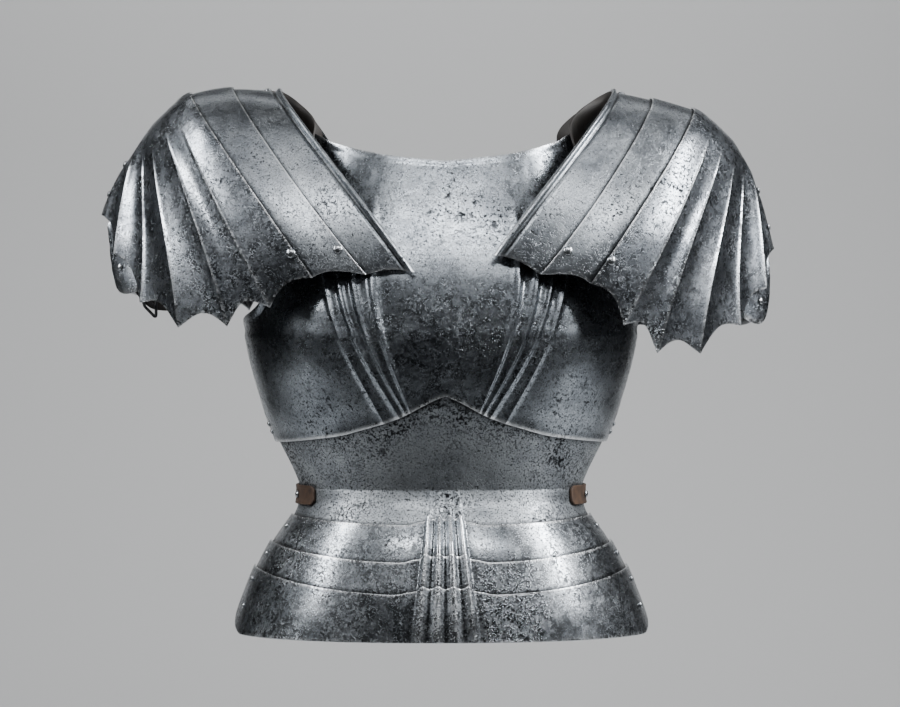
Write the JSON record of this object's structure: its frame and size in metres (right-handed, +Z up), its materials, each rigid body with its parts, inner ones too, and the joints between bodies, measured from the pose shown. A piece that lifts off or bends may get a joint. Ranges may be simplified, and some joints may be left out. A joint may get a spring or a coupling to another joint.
{
  "type": "cuirass",
  "caption": "Plate cuirass with a peaked breastplate over a plackart, back, fluted fauld lames and fan-fluted scalloped spaulders.",
  "frame": {"origin": "between the shoulders, level with the middle of the shoulder straps, where the cuirass sits on its wearer", "axes": "+Z up, the breast looks along -Y, the wearer's left is +X"},
  "size_m": [0.6246, 0.2891, 0.5042],
  "materials": {
    "steel_plate": "worn, pitted, old polish",
    "rivet_steel": "worn",
    "strap_leather": "worn, matt",
    "buckle_iron": "blackened"
  },
  "bodies": {
    "body": {"backplate": "steel_plate", "breastplate": "steel_plate", "left_back_rivet_second_lame": "rivet_steel", "left_back_rivet_shoulder": "rivet_steel", "left_front_rivet_second_lame": "rivet_steel", "left_front_rivet_shoulder": "rivet_steel", "left_lower_rivet_breast": "rivet_steel", "left_neck_plate": "steel_plate", "left_rivet_fauld_lame_1": "rivet_steel", "left_rivet_shoulder_top": "rivet_steel", "left_rivet_waist": "rivet_steel", "left_shoulder_strap": "strap_leather", "left_upper_rivet_breast": "rivet_steel", "left_waist_strap": "strap_leather", "plackart": "steel_plate", "right_back_rivet_second_lame": "rivet_steel", "right_back_rivet_shoulder": "rivet_steel", "right_front_rivet_second_lame": "rivet_steel", "right_front_rivet_shoulder": "rivet_steel", "right_lower_rivet_breast": "rivet_steel", "right_neck_plate": "steel_plate", "right_rivet_fauld_lame_1": "rivet_steel", "right_rivet_shoulder_top": "rivet_steel", "right_rivet_waist": "rivet_steel", "right_shoulder_strap": "strap_leather", "right_upper_rivet_breast": "rivet_steel", "right_waist_strap": "strap_leather"},
    "upper_fauld": {"fauld_lame_1": "steel_plate", "right_rivet_fauld_lame_2": "rivet_steel", "left_rivet_fauld_lame_2": "rivet_steel"},
    "middle_fauld": {"fauld_lame_2": "steel_plate", "right_rivet_fauld_lame_3": "rivet_steel", "left_rivet_fauld_lame_3": "rivet_steel"},
    "lower_fauld": {"fauld_lame_3": "steel_plate", "right_rivet_hem": "rivet_steel", "left_rivet_hem": "rivet_steel"},
    "right_lame": {"right_second_lame": "steel_plate", "right_front_rivet_fan_plate": "rivet_steel", "right_back_rivet_fan_plate": "rivet_steel"},
    "right_fan": {"right_fan_plate": "steel_plate", "right_arm_lame": "steel_plate", "right_arm_strap": "strap_leather", "right_arm_buckle": "buckle_iron", "right_upper_rivet_arm": "rivet_steel", "right_lower_rivet_arm": "rivet_steel", "right_front_rivet_arm_strap": "rivet_steel", "right_back_rivet_arm_strap": "rivet_steel"},
    "left_lame": {"left_second_lame": "steel_plate", "left_front_rivet_fan_plate": "rivet_steel", "left_back_rivet_fan_plate": "rivet_steel"},
    "left_fan": {"left_fan_plate": "steel_plate", "left_arm_lame": "steel_plate", "left_arm_strap": "strap_leather", "left_arm_buckle": "buckle_iron", "left_upper_rivet_arm": "rivet_steel", "left_lower_rivet_arm": "rivet_steel", "left_front_rivet_arm_strap": "rivet_steel", "left_back_rivet_arm_strap": "rivet_steel"}
  },
  "joints": [
    {"name": "upper_fauld_turn", "type": "hinge", "parent": "body", "child": "upper_fauld", "pos_m": [0, -0.03348, -0.38934], "axis": [-1, 0, 0], "range_deg": [0, 2]},
    {"name": "middle_fauld_turn", "type": "hinge", "parent": "upper_fauld", "child": "middle_fauld", "pos_m": [0, -0.03701, -0.41427], "axis": [-1, 0, 0], "range_deg": [0, 2]},
    {"name": "lower_fauld_turn", "type": "hinge", "parent": "middle_fauld", "child": "lower_fauld", "pos_m": [0, -0.03926, -0.43768], "axis": [-1, 0, 0], "range_deg": [0, 2]},
    {"name": "right_lame_turn", "type": "hinge", "parent": "body", "child": "right_lame", "pos_m": [-0.09545, -0.14817, -0.13849], "axis": [0.0659, 0.9978, 0], "range_deg": [0, 5]},
    {"name": "right_fan_turn", "type": "hinge", "parent": "right_lame", "child": "right_fan", "pos_m": [-0.13716, -0.14865, -0.14223], "axis": [0.0657, 0.9978, 0], "range_deg": [0, 1.5]},
    {"name": "left_lame_turn", "type": "hinge", "parent": "body", "child": "left_lame", "pos_m": [0.10883, -0.14817, -0.13976], "axis": [0.0659, -0.9978, 0], "range_deg": [0, 5]},
    {"name": "left_fan_turn", "type": "hinge", "parent": "left_lame", "child": "left_fan", "pos_m": [0.1476, -0.1486, -0.14866], "axis": [0.0657, -0.9978, 0], "range_deg": [0, 1.5]}
  ]
}
